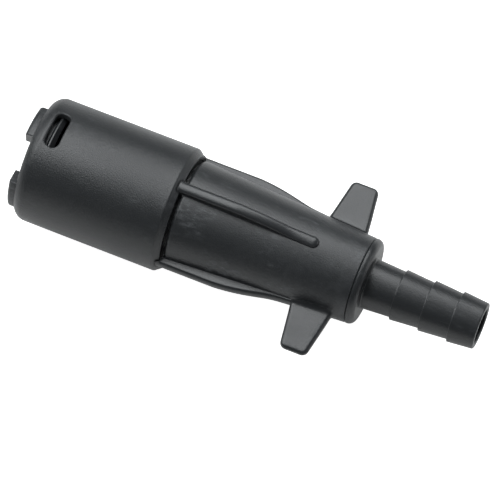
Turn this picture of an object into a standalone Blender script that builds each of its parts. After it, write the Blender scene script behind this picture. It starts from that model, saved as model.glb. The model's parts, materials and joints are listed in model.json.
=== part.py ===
"""Adjustable drip emitter with a hose barb, a winged and ribbed body and a turning sleeve.

The emitter lies on its side: its axis runs along +X towards the hose barb, the wings point along
-Y and +Y, and +Z is up. Stations are millimetres along the axis, counted from the sleeve's front rim.
Water enters at the barb and drips out of the crown at the other end. Turning the sleeve and crown on
the body's neck moves the flow plug in or out of its seat.
"""

import math

import bpy
import bmesh
from mathutils import Matrix

MM = 0.001

# Fits shared by every piece.
GAP = 0.3  # between two pieces that touch or run in each other
MERGE = 1e-6  # metres, for points that are the same
CUT_PAST = 1.0  # how far a cutter reaches past the wall it cuts

# Outer sleeve.
SLEEVE_RADIUS = 17.5
SLEEVE_LENGTH = 43.2
SLEEVE_FRONT_WALL = 1.5
SLEEVE_REAR_WALL = 2.5
SLEEVE_FRONT_ROUND = 3.5
SLEEVE_REAR_ROUND = 1.8
SLEEVE_STEP = 17.0  # station where the wide front bore ends

# Snap windows of the sleeve, and the crown's lugs and hooks.
WINDOW_COUNT = 2
WINDOW_ANGLE = 98.0
WINDOW_STATION = 5.9
WINDOW_WIDTH = 3.6
WINDOW_LENGTH = 11.4
LUG_COUNT = 4
LUG_ANGLE = 104.0
LUG_SWEEP = 39.0
LUG_REACH = 2.1
LUG_DEPTH = 6.2
LUG_ROUND = 1.1
HOOK_RISE = 1.0

# Outlet crown.
CROWN_WALL = 1.6
CROWN_FACE = 1.8  # station of its recessed front face
CROWN_WEB = 2.2
CROWN_LENGTH = 11.5
HUB_RADIUS = 8.0
NOZZLE_RADIUS = 6.0
NOZZLE_BORE = 3.4
NOZZLE_REACH = 1.2  # how far it stands out of the crown's face
NOZZLE_ROUND = 0.8

# Winged body.
BODY_STEP = 0.3  # its front rim over the neck
BODY_REAR_RADIUS = 12.05
BODY_RECESS = 1.3  # dark gap between the sleeve and the rim
BODY_LENGTH = 50.5
BODY_RIM_ROUND = 0.6
BODY_WALL = 1.95
NECK_WALL = 3.2
NECK_LIP = 0.5  # in front of the snap ring's groove
CARTRIDGE_DEPTH = 15.5  # how far the neck's wide bore reaches into the body

# Ribs along the body.
RIB_COUNT = 4
RIB_THICKNESS = 3.1
RIB_UNDER = 0.5  # its crest under the sleeve's surface
RIB_LEVEL = 11.5  # length of the level crest
RIB_DROP = 18.0  # length over which it drops to a low ridge
RIB_LENGTH = 38.0
RIB_RIDGE = 0.6  # height of the low ridge over the body
RIB_EDGE = 0.5

# Wings.
WING_INSET = 9.1  # its middle, from the body's end
WING_SPAN = 52.4
WING_BASE = 11.7
WING_TIP = 7.5
WING_THICKNESS = 2.4
WING_CORNER = 1.4
WING_EDGE = 0.5

# Barbed inlet.
FLANGE_WIDTH = 2.0
FLANGE_ROUND = 1.8
SPIGOT_LENGTH = 10.0
BARB_CREST = 7.1
BARB_ROOT = 6.5
BARB_BORE = 4.9
BARB_LEAD = 8.5  # from the flange to the first crest
BARB_PITCH = 8.2
BARB_COUNT = 3
BARB_LENGTH = 32.2
BARB_TIP_ROUND = 0.4

# Seals: the section radius of each O-ring.
NECK_SEAL = 0.75
SMALL_SEAL = 0.6
FRONT_SEAL_INSET = 7.0  # from the sleeve's step
REAR_SEAL_INSET = 6.2  # from the sleeve's rear end

# Snap ring and washer that hold the sleeve on the neck.
SNAP_RING_WIDTH = 1.2
SNAP_RING_DEPTH = 1.1  # of its groove in the neck
SNAP_RING_SPLIT = 2.5
WASHER_WIDTH = 0.8

# Flow plug and its travel.
PLUG_TRAVEL = 3.0
PLUG_HEAD = 3.0
PLUG_NECK = 4.2  # stem between the head and the seat
PLUG_STEM = 2.0
PLUG_PORT = 1.0  # radius of each water port through its head
PLUG_PORTS = 4
SEAT_ORIFICE = 2.2
SEAT_CONE = 1.8  # how much wider the seat's mouth is than its orifice
SEAT_WIDTH = 4.0

# Cartridge behind the seat, from the front to the check ball.
DIAPHRAGM_WIDTH = 1.0
DIAPHRAGM_BORE = 2.6
RING_WIDTH = 1.8
RING_BORE = 8.6
CORE_FLANGES = 6
CORE_FLANGE_WIDTH = 1.3
CORE_DEPTH = 2.2
CORE_BORE = 5.0
CORE_NOTCH = 2.4
CORE_SEAL_GROOVE = 4  # the groove, counted from the front, that holds the core's O-ring
BALL_RADIUS = 4.0
BALL_TRAVEL = 2.5
BALL_SEAT_WIDTH = 3.0
BALL_SEAT_BORE = 2.7
BALL_SEAT_CONE = 1.0  # depth of the cone that the ball rests in
CAGE_WALL = 1.8
CAGE_WINDOW = 4.0

# Strainer in the inlet.
STRAINER_RADIUS = 7.6
STRAINER_WALL = 1.3
STRAINER_LENGTH = 21.0
STRAINER_FLANGE = 1.8
STRAINER_WINDOW = 5.0
STRAINER_WINDOW_LENGTH = 14.0
GAUZE_WALL = 0.5

# Facets round the turned pieces.
OUTER_STEPS = 48
INNER_STEPS = 32
SEAL_STEPS = 32
SEAL_SIDES = 8
ARC_STEPS = 3
SLOT_STEPS = 5
SMOOTH_ANGLE = 35.0  # degrees; a sharper edge is shaded as a crease

# Places that follow from the sizes above.
SLEEVE_BORE = SLEEVE_RADIUS - SLEEVE_REAR_WALL
SLEEVE_FRONT_BORE = SLEEVE_RADIUS - SLEEVE_FRONT_WALL
NECK_RADIUS = SLEEVE_BORE - GAP
BODY_FRONT_RADIUS = NECK_RADIUS + BODY_STEP
BODY_START = SLEEVE_LENGTH + BODY_RECESS
BODY_END = BODY_START + BODY_LENGTH
INLET_BORE = BODY_REAR_RADIUS - BODY_WALL
RIB_CREST = SLEEVE_RADIUS - RIB_UNDER
RIB_KNEE = BODY_START + RIB_LEVEL
RIB_FOOT = RIB_KNEE + RIB_DROP
RIB_END = BODY_START + RIB_LENGTH
WING_STATION = BODY_END - WING_INSET
CARTRIDGE_RADIUS = NECK_RADIUS - NECK_WALL
CARTRIDGE_FIT = CARTRIDGE_RADIUS - GAP
CARTRIDGE_END = BODY_START + CARTRIDGE_DEPTH
CROWN_RADIUS = SLEEVE_FRONT_BORE - GAP
HUB_BORE = NOZZLE_RADIUS + GAP
WASHER_STATION = SLEEVE_STEP - GAP - WASHER_WIDTH
RING_STATION = WASHER_STATION - GAP - SNAP_RING_WIDTH
NECK_FRONT = RING_STATION - GAP - NECK_LIP
FRONT_SEAL_STATION = SLEEVE_STEP + FRONT_SEAL_INSET
REAR_SEAL_STATION = SLEEVE_LENGTH - REAR_SEAL_INSET
FLANGE_START = BODY_END + GAP
FLANGE_END = FLANGE_START + FLANGE_WIDTH
BARB_FIRST = FLANGE_END + BARB_LEAD
BARB_TIP = FLANGE_END + BARB_LENGTH
SPIGOT_RADIUS = INLET_BORE - GAP
NOZZLE_END = CROWN_FACE + CROWN_WEB
PLUG_FRONT = NOZZLE_END + GAP + PLUG_TRAVEL
SEAT_START = PLUG_FRONT + PLUG_HEAD + PLUG_NECK
SEAT_END = SEAT_START + SEAT_WIDTH
DIAPHRAGM_START = SEAT_END + GAP
RING_START = DIAPHRAGM_START + DIAPHRAGM_WIDTH + GAP
CORE_START = RING_START + RING_WIDTH + GAP
BALL_SEAT_START = CARTRIDGE_END - GAP - BALL_SEAT_WIDTH
BALL_STATION = BALL_SEAT_START - BALL_RADIUS * math.sqrt(0.5) - GAP
CAGE_END = BALL_SEAT_START - GAP
CAGE_BORE = BALL_RADIUS + GAP
CAGE_START = BALL_STATION - BALL_RADIUS - BALL_TRAVEL - GAP - CAGE_WALL
CORE_END = CAGE_START - GAP
STRAINER_END = FLANGE_START - SPIGOT_LENGTH - GAP
STRAINER_START = STRAINER_END - STRAINER_LENGTH
AXIS_START = -(BARB_TIP - LUG_REACH) / 2  # station 0 in the frame, with the whole centred on it


def clear_scene():
    for obj in list(bpy.data.objects):
        bpy.data.objects.remove(obj, do_unlink=True)


def collection(name):
    made = bpy.data.collections.new(name)
    bpy.context.scene.collection.children.link(made)
    return made


def plastic(name, colour, roughness, metallic=0.0):
    made = bpy.data.materials.new(name)
    made.use_nodes = True
    shader = made.node_tree.nodes["Principled BSDF"]
    shader.inputs["Base Color"].default_value = (*colour, 1.0)
    shader.inputs["Roughness"].default_value = roughness
    shader.inputs["Metallic"].default_value = metallic
    return made


def arc(centre, radius, start, end, steps=ARC_STEPS):
    """Points (radius, station) round a centre, from one angle to another in degrees."""
    angles = [math.radians(start + (end - start) * i / steps) for i in range(steps + 1)]
    return [(centre[0] + radius * math.cos(a), centre[1] + radius * math.sin(a)) for a in angles]


def direction(angle):
    """The way out from the axis at an angle: 0 is -Y, 90 is up and 180 is +Y in the lying emitter."""
    return Matrix.Rotation(math.radians(-90.0 - angle), 4, "Z")


def signed_area(points):
    pairs = zip(points, points[1:] + points[:1])
    return sum(a[0] * b[1] - b[0] * a[1] for a, b in pairs) / 2


def place(obj, material, group):
    obj.data.materials.clear()
    obj.data.materials.append(material)
    group.objects.link(obj)
    obj.parent = axis
    return obj


def turned(name, profile, material, steps=INNER_STEPS, group=None):
    """A solid of revolution from a closed loop of (radius, station) points."""
    loop = list(profile)
    if signed_area(loop) > 0:
        loop.reverse()
    mesh = bpy.data.meshes.new(name)
    points = [(radius * MM, 0.0, station * MM) for radius, station in loop]
    edges = [(i, (i + 1) % len(loop)) for i in range(len(loop))]
    on_axis = [i for i, point in enumerate(loop) if point[0] == 0.0]
    edges = [edge for edge in edges if not (edge[0] in on_axis and edge[1] in on_axis)]
    mesh.from_pydata(points, edges, [])
    screw = bpy.data.objects.new(name, mesh)
    turn = screw.modifiers.new("turn", "SCREW")
    turn.axis = "Z"
    turn.steps = steps
    turn.render_steps = steps
    turn.use_merge_vertices = True
    turn.merge_threshold = MERGE
    turn.use_smooth_shade = True
    return place(screw, material, group or parts)


def prism(name, outline, thickness, material, group=None, edge=0.0):
    """A flat plate: a filled outline, extruded evenly to both sides of its plane."""
    curve = bpy.data.curves.new(name, "CURVE")
    curve.dimensions = "2D"
    curve.fill_mode = "BOTH"
    curve.extrude = thickness / 2 * MM
    line = curve.splines.new("POLY")
    line.points.add(len(outline) - 1)
    for point, (x, y) in zip(line.points, outline):
        point.co = (x * MM, y * MM, 0.0, 1.0)
    line.use_cyclic_u = True
    flat = bpy.data.objects.new(name + "_outline", curve)
    parts.objects.link(flat)
    bpy.context.view_layer.update()
    evaluated = flat.evaluated_get(bpy.context.evaluated_depsgraph_get())
    mesh = bpy.data.meshes.new_from_object(evaluated)
    bpy.data.objects.remove(flat, do_unlink=True)
    weld = bmesh.new()
    weld.from_mesh(mesh)
    bmesh.ops.remove_doubles(weld, verts=weld.verts, dist=MERGE)
    bmesh.ops.dissolve_limit(weld, angle_limit=0.01, verts=weld.verts, edges=weld.edges)
    bmesh.ops.recalc_face_normals(weld, faces=weld.faces)
    weld.to_mesh(mesh)
    weld.free()
    made = place(bpy.data.objects.new(name, mesh), material, group or parts)
    if edge:
        bevel = made.modifiers.new("edges", "BEVEL")
        bevel.width = edge * MM
        bevel.segments = 1
        bevel.limit_method = "ANGLE"
    return made


def stand_out(plate, angle, station=0.0):
    """Turns a plate drawn as (out from the axis, along the axis) to stand radially at an angle."""
    upright = Matrix(((1, 0, 0, 0), (0, 0, -1, 0), (0, 1, 0, 0), (0, 0, 0, 1)))
    plate.matrix_local = direction(angle) @ Matrix.Translation((0, 0, station * MM)) @ upright
    return plate


def cutter(obj):
    obj.hide_render = True
    obj.display_type = "WIRE"
    return obj


def join(obj, tool, operation="UNION"):
    step = obj.modifiers.new(operation.lower(), "BOOLEAN")
    step.operation = operation
    step.solver = "EXACT"
    step.object = cutter(tool)


def fix_mesh(obj):
    """Makes the modified shape the object's own mesh, so that the next piece can build on it."""
    bpy.context.view_layer.update()
    evaluated = obj.evaluated_get(bpy.context.evaluated_depsgraph_get())
    mesh = bpy.data.meshes.new_from_object(evaluated)
    obj.modifiers.clear()
    obj.data = mesh
    mesh.shade_smooth()
    mesh.set_sharp_from_angle(angle=math.radians(SMOOTH_ANGLE))
    return obj


def tube(outer, inner, start, end):
    return [(outer, start), (outer, end), (inner, end), (inner, start)]


def seal(name, inside, section, station):
    """An O-ring whose hole is clear of the groove that it lies in."""
    centre = (inside + GAP + section, station)
    return turned(name, arc(centre, section, 0, 360, SEAL_SIDES)[:-1], rubber, SEAL_STEPS)


def body_radius(station):
    share = (station - BODY_START) / (BODY_END - BODY_START)
    return BODY_FRONT_RADIUS + (BODY_REAR_RADIUS - BODY_FRONT_RADIUS) * share


def make_sleeve():
    """The plain cylinder that the hand turns: open at both ends, with a window over each hook."""
    hollow = SLEEVE_RADIUS - SLEEVE_FRONT_ROUND
    lip = math.degrees(math.acos((SLEEVE_FRONT_BORE - hollow) / SLEEVE_FRONT_ROUND))
    nose = arc((hollow, SLEEVE_FRONT_ROUND), SLEEVE_FRONT_ROUND, -lip, 0, ARC_STEPS + 1)
    rim = SLEEVE_RADIUS - SLEEVE_REAR_ROUND
    tail = arc((rim, SLEEVE_LENGTH - SLEEVE_REAR_ROUND), SLEEVE_REAR_ROUND, 0, 90)
    bore = [(SLEEVE_BORE, SLEEVE_LENGTH), (SLEEVE_BORE, SLEEVE_STEP), (SLEEVE_FRONT_BORE, SLEEVE_STEP)]
    sleeve = turned("outer_sleeve", nose + tail + bore, black_satin, OUTER_STEPS)
    for i in range(WINDOW_COUNT):
        angle = WINDOW_ANGLE + i * 360 / WINDOW_COUNT
        join(sleeve, window(f"window_{i + 1}", angle), "DIFFERENCE")
    return fix_mesh(sleeve)


def stadium(length, width, steps=SLOT_STEPS):
    """A slot outline with round ends, long in its first direction."""
    radius = width / 2
    reach = length / 2 - radius
    return arc((reach, 0), radius, -90, 90, steps) + arc((-reach, 0), radius, 90, 270, steps)


def window(name, angle):
    depth = SLEEVE_FRONT_WALL + 2 * CUT_PAST
    slot = prism(name, stadium(WINDOW_LENGTH, WINDOW_WIDTH), depth, black_satin, cutters)
    out = SLEEVE_RADIUS - SLEEVE_FRONT_WALL / 2
    lying = Matrix.Rotation(math.radians(90.0), 4, "Z") @ Matrix.Rotation(math.radians(90.0), 4, "X")
    outwards = Matrix.Translation((out * MM, 0, WINDOW_STATION * MM)) @ lying
    slot.matrix_local = direction(angle) @ outwards
    return slot


def sector(inner, outer, sweep, steps=ARC_STEPS):
    """A ring segment's outline, centred on the first direction."""
    outside = arc((0, 0), outer, -sweep / 2, sweep / 2, steps)
    inside = arc((0, 0), inner, sweep / 2, -sweep / 2, steps)
    return outside + inside


def make_crown():
    """The outlet end: a cup that snaps into the sleeve's front, with four lugs and a threaded hub."""
    inner = CROWN_RADIUS - LUG_DEPTH
    tip = -LUG_REACH
    outer_corner = arc((CROWN_RADIUS - LUG_ROUND, tip + LUG_ROUND), LUG_ROUND, 0, -90, 2)
    profile = [(CROWN_RADIUS, CROWN_LENGTH)]
    profile += outer_corner
    profile += [(inner, tip), (inner, CROWN_FACE), (HUB_BORE, CROWN_FACE)]
    profile += [(HUB_BORE, CROWN_LENGTH), (HUB_RADIUS, CROWN_LENGTH)]
    profile += [(HUB_RADIUS, NOZZLE_END), (CROWN_RADIUS - CROWN_WALL, NOZZLE_END)]
    profile += [(CROWN_RADIUS - CROWN_WALL, CROWN_LENGTH)]
    crown = turned("outlet_crown", profile, black_satin, OUTER_STEPS)
    gap_sweep = 360 / LUG_COUNT - LUG_SWEEP
    gap_low = tip - CUT_PAST
    for i in range(LUG_COUNT):
        angle = LUG_ANGLE + (i + 0.5) * 360 / LUG_COUNT
        outline = sector(inner - CUT_PAST, CROWN_RADIUS + CUT_PAST, gap_sweep)
        gap = prism(f"lug_gap_{i + 1}", outline, CROWN_FACE - gap_low, black_satin, cutters)
        middle = Matrix.Translation((0, 0, (CROWN_FACE + gap_low) / 2 * MM))
        gap.matrix_local = direction(angle) @ middle
        join(crown, gap, "DIFFERENCE")
    for i in range(WINDOW_COUNT):
        angle = WINDOW_ANGLE + i * 360 / WINDOW_COUNT
        join(crown, hook(f"hook_{i + 1}", angle))
    return fix_mesh(crown)


def hook(name, angle):
    """A snap hook: steep on its front side, which bears on the window, and ramped on its rear side."""
    half = WINDOW_WIDTH / 2 - GAP
    low = CROWN_RADIUS - CROWN_WALL / 2
    front = WINDOW_STATION - half
    rear = WINDOW_STATION + half
    top = CROWN_RADIUS + HOOK_RISE
    side = [(low, front), (top, front + half / 3), (top, front + half / 2)]
    side += [(CROWN_RADIUS, rear), (low, rear)]
    block = prism(name, side, WINDOW_LENGTH - WINDOW_WIDTH / 2 - 2 * GAP, black_satin, cutters)
    return stand_out(block, angle)


def make_nozzle():
    """The drip outlet: a plain bush in the middle of the crown."""
    front = CROWN_FACE - NOZZLE_REACH
    mouth = arc((NOZZLE_BORE + NOZZLE_ROUND, front + NOZZLE_ROUND), NOZZLE_ROUND, 180, 270, 2)
    profile = mouth + [(NOZZLE_RADIUS, front), (NOZZLE_RADIUS, NOZZLE_END)]
    profile += [(NOZZLE_BORE, NOZZLE_END)]
    return turned("drip_outlet", profile, black_satin)


def make_body():
    """The housing: a neck that the sleeve turns on, and a tapered barrel with ribs and wings."""
    seal_floor = NECK_RADIUS - 2 * NECK_SEAL - GAP
    rim_centre = (BODY_FRONT_RADIUS - BODY_RIM_ROUND, BODY_START + BODY_RIM_ROUND)
    rim = arc(rim_centre, BODY_RIM_ROUND, -90, 0, 2)
    profile = [(CARTRIDGE_RADIUS, NECK_FRONT), (NECK_RADIUS, NECK_FRONT)]
    ring_middle = RING_STATION + SNAP_RING_WIDTH / 2
    profile += groove(NECK_RADIUS, NECK_RADIUS - SNAP_RING_DEPTH, ring_middle, SNAP_RING_WIDTH)
    for station in (FRONT_SEAL_STATION, REAR_SEAL_STATION):
        profile += groove(NECK_RADIUS, seal_floor, station, 2 * NECK_SEAL)
    profile += [(NECK_RADIUS, BODY_START)] + rim + [(body_radius(BODY_END), BODY_END)]
    profile += [(INLET_BORE, BODY_END), (INLET_BORE, CARTRIDGE_END), (CARTRIDGE_RADIUS, CARTRIDGE_END)]
    body = turned("winged_body", profile, black_satin, OUTER_STEPS)
    for i in range(RIB_COUNT):
        join(body, rib(f"rib_{i + 1}", i * 360 / RIB_COUNT))
    for i in range(2):
        join(body, wing(f"wing_{i + 1}", i * 180))
    return fix_mesh(body)


def groove(outer, floor, station, width):
    """The four corners of a groove cut into a turned piece, with room on both sides of what lies in it."""
    low = station - width / 2 - GAP
    high = station + width / 2 + GAP
    return [(outer, low), (floor, low), (floor, high), (outer, high)]


def rib_top(station):
    """The crest: level, then a parabola down to a low ridge that follows the taper."""
    foot = body_radius(RIB_FOOT) + RIB_RIDGE
    fall = max(0.0, station - RIB_KNEE) / (RIB_FOOT - RIB_KNEE)
    return max(RIB_CREST - (RIB_CREST - foot) * fall**2, body_radius(station) + RIB_RIDGE)


def rib(name, angle):
    start = SLEEVE_LENGTH + GAP
    drop = [RIB_KNEE + (RIB_FOOT - RIB_KNEE) * i / 4 for i in range(5)]
    crest = [(rib_top(station), station) for station in [start] + drop + [RIB_END]]
    sunk = BODY_RIM_ROUND
    root = [(body_radius(RIB_END) - sunk, RIB_END), (BODY_FRONT_RADIUS - 2 * sunk, BODY_START + sunk)]
    root += [(NECK_RADIUS - sunk, start)]
    plate = prism(name, crest + root, RIB_THICKNESS, black_satin, cutters, RIB_EDGE)
    return stand_out(plate, angle)


def rounded_wing():
    """The wing's outline, from inside the body's wall out to a tip with round corners."""
    out = WING_SPAN / 2
    foot = body_radius(WING_STATION)
    root = foot - BODY_RIM_ROUND
    slope = math.degrees(math.atan2((WING_BASE - WING_TIP) / 2, out - foot))
    widen = math.tan(math.radians(slope))
    half_root = WING_BASE / 2 + (foot - root) * widen
    inset = WING_CORNER * math.tan(math.radians((90 - slope) / 2))
    centre = (out - WING_CORNER, WING_TIP / 2 - inset)
    corner = arc(centre, WING_CORNER, 90 - slope, 0)
    lower = [(x, -y) for x, y in reversed(corner)]
    points = [(root, half_root)] + corner + lower + [(root, -half_root)]
    return [(x, y + WING_STATION) for x, y in points]


def wing(name, angle):
    plate = prism(name, rounded_wing(), WING_THICKNESS, black_satin, cutters, WING_EDGE)
    return stand_out(plate, angle)


def make_inlet():
    """The inlet: an end flange, a barbed hose tail and a spigot that plugs into the body."""
    flange = body_radius(BODY_END)
    seal_station = FLANGE_START - SPIGOT_LENGTH / 2
    spigot_floor = SPIGOT_RADIUS - 2 * SMALL_SEAL - GAP
    seal("inlet_o_ring", spigot_floor, SMALL_SEAL - GAP / 2, seal_station)
    profile = [(BARB_BORE, FLANGE_START - SPIGOT_LENGTH), (SPIGOT_RADIUS, FLANGE_START - SPIGOT_LENGTH)]
    profile += groove(SPIGOT_RADIUS, spigot_floor, seal_station, 2 * SMALL_SEAL)
    profile += [(SPIGOT_RADIUS, FLANGE_START), (flange, FLANGE_START)]
    profile += arc((flange - FLANGE_ROUND, FLANGE_END - FLANGE_ROUND), FLANGE_ROUND, 0, 90)
    profile += [(BARB_CREST, FLANGE_END), (BARB_ROOT, BARB_FIRST)]
    for i in range(BARB_COUNT):
        shoulder = BARB_FIRST + i * BARB_PITCH
        end = min(shoulder + BARB_PITCH, BARB_TIP - BARB_TIP_ROUND)
        profile += [(BARB_CREST, shoulder), (BARB_ROOT, end)]
    profile += [(BARB_ROOT - BARB_TIP_ROUND, BARB_TIP), (BARB_BORE, BARB_TIP)]
    return fix_mesh(turned("barbed_inlet", profile, black_satin, OUTER_STEPS))


def make_neck_rings():
    floor = NECK_RADIUS - 2 * NECK_SEAL - GAP
    seal("front_o_ring", floor, NECK_SEAL - GAP / 2, FRONT_SEAL_STATION)
    seal("rear_o_ring", floor, NECK_SEAL - GAP / 2, REAR_SEAL_STATION)
    inside = NECK_RADIUS - SNAP_RING_DEPTH + GAP
    section = tube(CROWN_RADIUS, inside, RING_STATION, RING_STATION + SNAP_RING_WIDTH)
    ring = turned("snap_ring", section, steel)
    half = SNAP_RING_SPLIT / 2
    split = tube(0, SLEEVE_RADIUS, -half, half)
    slot = prism("snap_ring_split", split, SNAP_RING_WIDTH + 2 * CUT_PAST, steel, cutters)
    middle = Matrix.Translation((0, 0, (RING_STATION + SNAP_RING_WIDTH / 2) * MM))
    slot.matrix_local = direction(WINDOW_ANGLE) @ middle
    join(ring, slot, "DIFFERENCE")
    fix_mesh(ring)
    washer = tube(CROWN_RADIUS, SLEEVE_BORE, WASHER_STATION, WASHER_STATION + WASHER_WIDTH)
    turned("thrust_washer", washer, white_acetal)


def make_flow_plug():
    """The needle that the crown's thread moves along the axis; its cone closes the seat's orifice."""
    head = PLUG_FRONT + PLUG_HEAD
    middle = PLUG_FRONT + PLUG_HEAD / 2
    tip = SEAT_END - GAP
    cone_start = SEAT_START - GAP
    nose = PLUG_STEM - SEAT_CONE / 2
    floor = NOZZLE_RADIUS - 2 * SMALL_SEAL - GAP
    profile = [(0, PLUG_FRONT), (NOZZLE_RADIUS, PLUG_FRONT)]
    profile += groove(NOZZLE_RADIUS, floor, middle, 2 * SMALL_SEAL - GAP)
    profile += [(NOZZLE_RADIUS, head), (PLUG_STEM, head), (PLUG_STEM, cone_start), (nose, tip), (0, tip)]
    plug = turned("flow_plug", profile, white_acetal)
    out = (PLUG_STEM + floor) / 2
    drill = tube(PLUG_PORT, 0, -CUT_PAST, PLUG_HEAD + CUT_PAST)
    for i in range(PLUG_PORTS):
        port = turned(f"port_{i + 1}", drill, white_acetal, SEAL_SIDES, cutters)
        outwards = Matrix.Translation((out * MM, 0, PLUG_FRONT * MM))
        port.matrix_local = direction(i * 360 / PLUG_PORTS) @ outwards
        join(plug, port, "DIFFERENCE")
    fix_mesh(plug)
    seal("plug_o_ring", floor, SMALL_SEAL - GAP / 2, middle)


def make_cartridge():
    """The pieces stacked in the neck: seat, diaphragm, its ring, labyrinth core and check valve."""
    mouth = SEAT_ORIFICE + SEAT_CONE
    seat = [(CARTRIDGE_FIT, SEAT_START), (CARTRIDGE_FIT, SEAT_END), (SEAT_ORIFICE, SEAT_END)]
    seat += [(SEAT_ORIFICE, SEAT_START + SEAT_WIDTH / 2), (mouth, SEAT_START)]
    turned("flow_seat", seat, white_acetal)
    disc = tube(CARTRIDGE_FIT, DIAPHRAGM_BORE, DIAPHRAGM_START, DIAPHRAGM_START + DIAPHRAGM_WIDTH)
    turned("diaphragm", disc, silicone)
    ring = tube(CARTRIDGE_FIT, RING_BORE, RING_START, RING_START + RING_WIDTH)
    turned("diaphragm_ring", ring, white_acetal)
    make_labyrinth()
    make_check_valve()


def make_labyrinth():
    """A spool whose flanges each have a notch on alternate sides, so that water zigzags round it."""
    floor = CARTRIDGE_FIT - CORE_DEPTH
    pitch = (CORE_END - CORE_START - CORE_FLANGE_WIDTH) / (CORE_FLANGES - 1)
    profile = [(CORE_BORE, CORE_START)]
    for i in range(CORE_FLANGES):
        low = CORE_START + i * pitch
        high = low + CORE_FLANGE_WIDTH
        profile += [(CARTRIDGE_FIT, low), (CARTRIDGE_FIT, high)]
        if i < CORE_FLANGES - 1:
            profile += [(floor, high), (floor, low + pitch)]
    profile += [(CORE_BORE, CORE_END)]
    core = turned("labyrinth_core", profile, white_acetal)
    outline = tube(CARTRIDGE_RADIUS + CUT_PAST, floor - GAP, 0, CORE_FLANGE_WIDTH + 2 * GAP)
    for i in range(CORE_FLANGES):
        notch = prism(f"notch_{i + 1}", outline, CORE_NOTCH, white_acetal, cutters)
        stand_out(notch, 180 * (i % 2), CORE_START + i * pitch - GAP)
        join(core, notch, "DIFFERENCE")
    fix_mesh(core)
    groove_middle = CORE_START + (CORE_FLANGE_WIDTH + pitch) / 2 + CORE_SEAL_GROOVE * pitch
    seal("core_o_ring", floor, (CORE_DEPTH - GAP) / 2, groove_middle)


def make_check_valve():
    """A loose ball that the flow lifts off its seat, and that closes when the water would run back."""
    mouth = BALL_RADIUS * math.sqrt(0.5) + GAP
    seat_end = BALL_SEAT_START + BALL_SEAT_WIDTH
    seat = [(CARTRIDGE_FIT, BALL_SEAT_START), (CARTRIDGE_FIT, seat_end), (BALL_SEAT_BORE, seat_end)]
    seat += [(BALL_SEAT_BORE, BALL_SEAT_START + BALL_SEAT_CONE), (mouth, BALL_SEAT_START)]
    turned("ball_seat", seat, silicone)
    floor = CAGE_START + CAGE_WALL
    cage = [(CARTRIDGE_FIT, CAGE_START), (CARTRIDGE_FIT, CAGE_END), (CAGE_BORE, CAGE_END)]
    cage += [(CAGE_BORE, floor), (BALL_SEAT_BORE, floor), (BALL_SEAT_BORE, CAGE_START)]
    guide = turned("ball_cage", cage, white_acetal)
    length = CAGE_END - CAGE_START - 2 * CAGE_WALL
    outline = tube(-CARTRIDGE_RADIUS, CARTRIDGE_RADIUS, 0, length)
    for i in range(2):
        opening = prism(f"cage_window_{i + 1}", outline, CAGE_WINDOW, white_acetal, cutters)
        stand_out(opening, 45 + 90 * i, floor)
        join(guide, opening, "DIFFERENCE")
    fix_mesh(guide)
    side = arc((0, 0), BALL_RADIUS, -90, 90, SEAL_SIDES)[1:-1]
    half_turn = [(0, -BALL_RADIUS)] + side + [(0, BALL_RADIUS)]
    ball = turned("check_ball", half_turn, steel, SEAL_STEPS // 2)
    ball.location = (0, 0, BALL_STATION * MM)


def make_strainer():
    """A basket inside a tube of gauze, closed at its front end and fed from the barb."""
    closed = STRAINER_START + STRAINER_FLANGE
    flange = STRAINER_END - STRAINER_FLANGE
    inner = STRAINER_RADIUS - STRAINER_WALL
    profile = [(0, STRAINER_START), (STRAINER_RADIUS, STRAINER_START), (STRAINER_RADIUS, flange)]
    profile += [(SPIGOT_RADIUS, flange), (SPIGOT_RADIUS, STRAINER_END), (inner, STRAINER_END)]
    profile += [(inner, closed), (0, closed)]
    basket = turned("strainer_basket", profile, white_acetal)
    reach = STRAINER_RADIUS + CUT_PAST
    outline = tube(-reach, reach, 0, STRAINER_WINDOW_LENGTH)
    centred = (closed + flange - STRAINER_WINDOW_LENGTH) / 2
    for i in range(2):
        opening = prism(f"basket_window_{i + 1}", outline, STRAINER_WINDOW, white_acetal, cutters)
        stand_out(opening, 45 + 90 * i, centred)
        join(basket, opening, "DIFFERENCE")
    fix_mesh(basket)
    inside = STRAINER_RADIUS + GAP
    gauze = tube(inside + GAUZE_WALL, inside, STRAINER_START, flange - GAP)
    turned("strainer_gauze", gauze, steel)


clear_scene()
parts = collection("drip_emitter")
cutters = collection("cutters")
axis = bpy.data.objects.new("emitter_axis", None)
axis.location = (AXIS_START * MM, 0, SLEEVE_RADIUS * MM)
axis.rotation_euler = (0, math.radians(90), 0)
parts.objects.link(axis)

black_satin = plastic("black_satin", (0.02, 0.021, 0.022), 0.42)
white_acetal = plastic("white_acetal", (0.75, 0.75, 0.72), 0.4)
rubber = plastic("rubber", (0.015, 0.015, 0.015), 0.7)
silicone = plastic("silicone", (0.55, 0.16, 0.1), 0.55)
steel = plastic("steel", (0.6, 0.6, 0.6), 0.25, 1.0)

make_sleeve()
make_crown()
make_nozzle()
make_body()
make_inlet()
make_neck_rings()
make_flow_plug()
make_cartridge()
make_strainer()
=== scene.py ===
# %% [markdown]
# # An adjustable drip emitter, from a working frame to a finished look
#
# The emitter is an irrigation fitting: a hose tail lets water in, a tapered body takes its pressure
# down, and a turning sleeve at the other end sets how fast it drips. The frame already holds every
# piece at its real size and knows how they move. This file gives them the rounded edges, the moulded
# fillets and the plastic skin that a real one has.
#
# A frame piece could be shown as it is, but its facets are coarse because it is made for physics. Each
# outside piece is therefore modelled again in the same place, and stands for the frame piece it hides.

# %% Load the frame
import json
import math

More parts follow.
